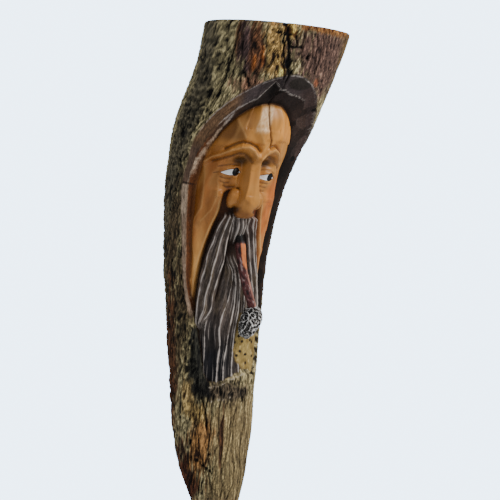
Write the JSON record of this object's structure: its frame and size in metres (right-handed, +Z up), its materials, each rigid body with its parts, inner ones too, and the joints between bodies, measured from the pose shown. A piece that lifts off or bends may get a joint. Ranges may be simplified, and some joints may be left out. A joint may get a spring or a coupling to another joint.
{
  "type": "wall sculpture",
  "caption": "Wall-hung wood spirit with a pipe, carved under a hood in the front of a tapering, curving log that keeps its bark.",
  "frame": {"origin": "point on the flat sawn back that lies against the wall, 308 mm above the tip, near the sculpture's centre of mass", "axes": "+Y is the back's normal, into the wall, the face looks along -Y; +Z runs up the log, its longest extent"},
  "size_m": [0.1433, 0.113, 0.461],
  "materials": {
    "wood_and_bark": "oiled face in a log with rough bark",
    "dark_twig": "smooth twig bark with a sheen",
    "grey_knob": "rough and dry"
  },
  "bodies": {
    "root": {"carved_log": "wood_and_bark", "pipe_stem": "dark_twig", "pipe_bowl": "grey_knob"}
  },
  "joints": []
}
